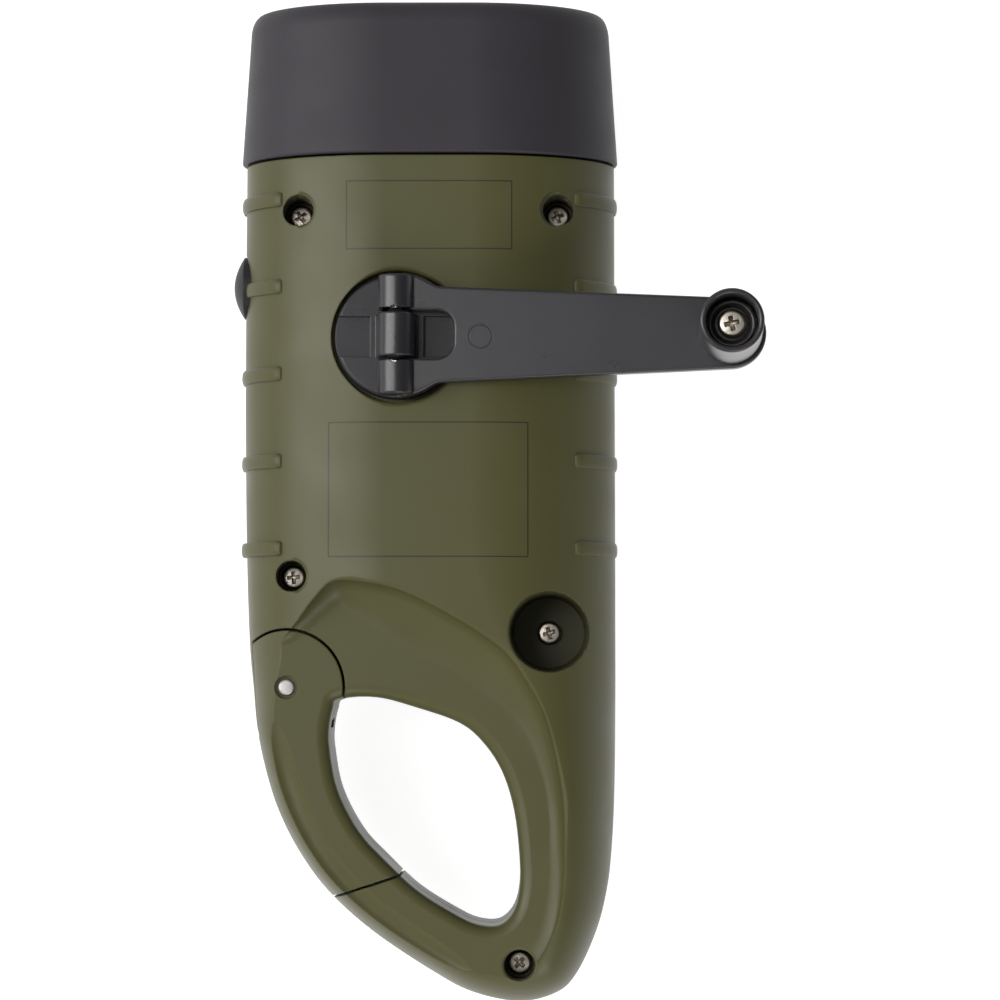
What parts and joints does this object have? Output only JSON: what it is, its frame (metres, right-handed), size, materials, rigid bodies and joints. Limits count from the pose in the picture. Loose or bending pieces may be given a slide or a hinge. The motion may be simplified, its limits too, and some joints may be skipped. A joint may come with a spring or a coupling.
{
  "type": "hand-crank led torch",
  "caption": "Flat oval torch with a fold-out hand crank, a solar panel, a rubber lamp bumper and a carabiner tail with a sprung gate.",
  "frame": {"origin": "on the flat face of the solar window, on the middle line of the grip, below the middle of the body's length", "axes": "+Y along the grip to the lamp head, +Z out of the crank side, +X to the right seen from the crank side"},
  "size_m": [0.0702, 0.1315, 0.052],
  "materials": {
    "case": "satin moulded olive plastic",
    "bumper": "matt dark grey rubber",
    "button": "satin black rubber",
    "crank": "semi-gloss black plastic",
    "lens": "clear",
    "window": "clear",
    "cell": "dark blue silicon with fine lines",
    "reflector": "metallised",
    "led": "clear epoxy",
    "board": "green solder mask",
    "component": "black moulding",
    "battery": "nickelled can",
    "lead": "red insulation",
    "nylon": "natural nylon",
    "brass": "turned",
    "magnet": "sintered magnet on a steel shaft",
    "copper": "enamelled copper winding",
    "steel": "bright zinc plate"
  },
  "bodies": {
    "case": {"rear_shell": "case", "front_shell": "case", "head_bumper": "bumper", "lens": "lens", "reflector": "reflector", "led_1": "led", "led_2": "led", "led_3": "led", "led_board": "board", "solar_window": "window", "solar_cell": "cell", "case_screw_1": "steel", "case_screw_2": "steel", "case_screw_3": "steel", "case_screw_4": "steel", "dock_screw": "steel", "gear_axle_1": "steel", "gear_axle_2": "steel", "gear_plate": "steel", "plate_screw_1": "steel", "plate_screw_2": "steel", "plate_screw_3": "steel", "stator_core": "steel", "stator_coil": "copper", "crank_bush": "brass", "gate_pin": "steel", "gate_spring": "steel", "power_switch": "component", "switch_board": "board", "battery_cell_1": "battery", "battery_cell_2": "battery", "battery_cell_3": "battery", "charge_board": "board", "charge_capacitor": "component", "solar_lead": "lead", "dynamo_lead": "lead", "switch_lead": "lead", "lamp_lead": "lead"},
    "crank": {"crank_hub": "crank", "hub_screw": "steel", "drive_gear": "nylon", "hinge_pin": "steel"},
    "arm": {"crank_arm": "crank", "knob_screw": "steel"},
    "knob": {"knob": "crank"},
    "gate": {"gate": "case"},
    "button": {"power_button": "button"},
    "gear_1": {"compound_gear_1": "nylon"},
    "gear_2": {"compound_gear_2": "nylon"},
    "rotor": {"rotor_magnet": "magnet", "rotor_pinion": "brass"}
  },
  "joints": [
    {"name": "crank_spin", "type": "hinge", "parent": "case", "child": "crank", "pos_m": [-0.00396, 0.02039, 0.0288], "axis": [0, 0, 1], "continuous": true},
    {"name": "crank_fold", "type": "hinge", "parent": "crank", "child": "arm", "pos_m": [-0.00396, 0.02039, 0.03145], "axis": [0, -1, 0], "range_deg": [0, 177.5]},
    {"name": "knob_spin", "type": "hinge", "parent": "arm", "child": "knob", "pos_m": [0.03926, 0.02039, 0.03414], "axis": [-0.0436, 0, 0.999], "continuous": true},
    {"name": "gate_swing", "type": "hinge", "parent": "case", "child": "gate", "pos_m": [-0.0186, -0.0253, 0.0145], "axis": [0, 0, 1], "range_deg": [0, 28], "stiffness_Nm_per_rad": 0.03, "springref_deg": -22.92},
    {"name": "button_press", "type": "slide", "parent": "case", "child": "button", "axis": [1, 0, 0], "range_m": [0, 0.001], "stiffness_N_per_m": 1500, "springref_m": -0.0005},
    {"name": "gear_1_spin", "type": "hinge", "parent": "case", "child": "gear_1", "pos_m": [0.00546, 0.01379, 0.0185], "axis": [0, 0, 1], "continuous": true},
    {"name": "gear_2_spin", "type": "hinge", "parent": "case", "child": "gear_2", "pos_m": [0.00372, 0.00395, 0.0157], "axis": [0, 0, 1], "continuous": true},
    {"name": "rotor_spin", "type": "hinge", "parent": "case", "child": "rotor", "pos_m": [-0.00563, 0.0023, 0.0157], "axis": [0, 0, 1], "continuous": true}
  ],
  "couplings": [
    {"joint": "gear_1_spin", "follows": "crank_spin", "ratio": -3.6},
    {"joint": "gear_2_spin", "follows": "crank_spin", "ratio": 10.8},
    {"joint": "rotor_spin", "follows": "crank_spin", "ratio": -30.24}
  ]
}
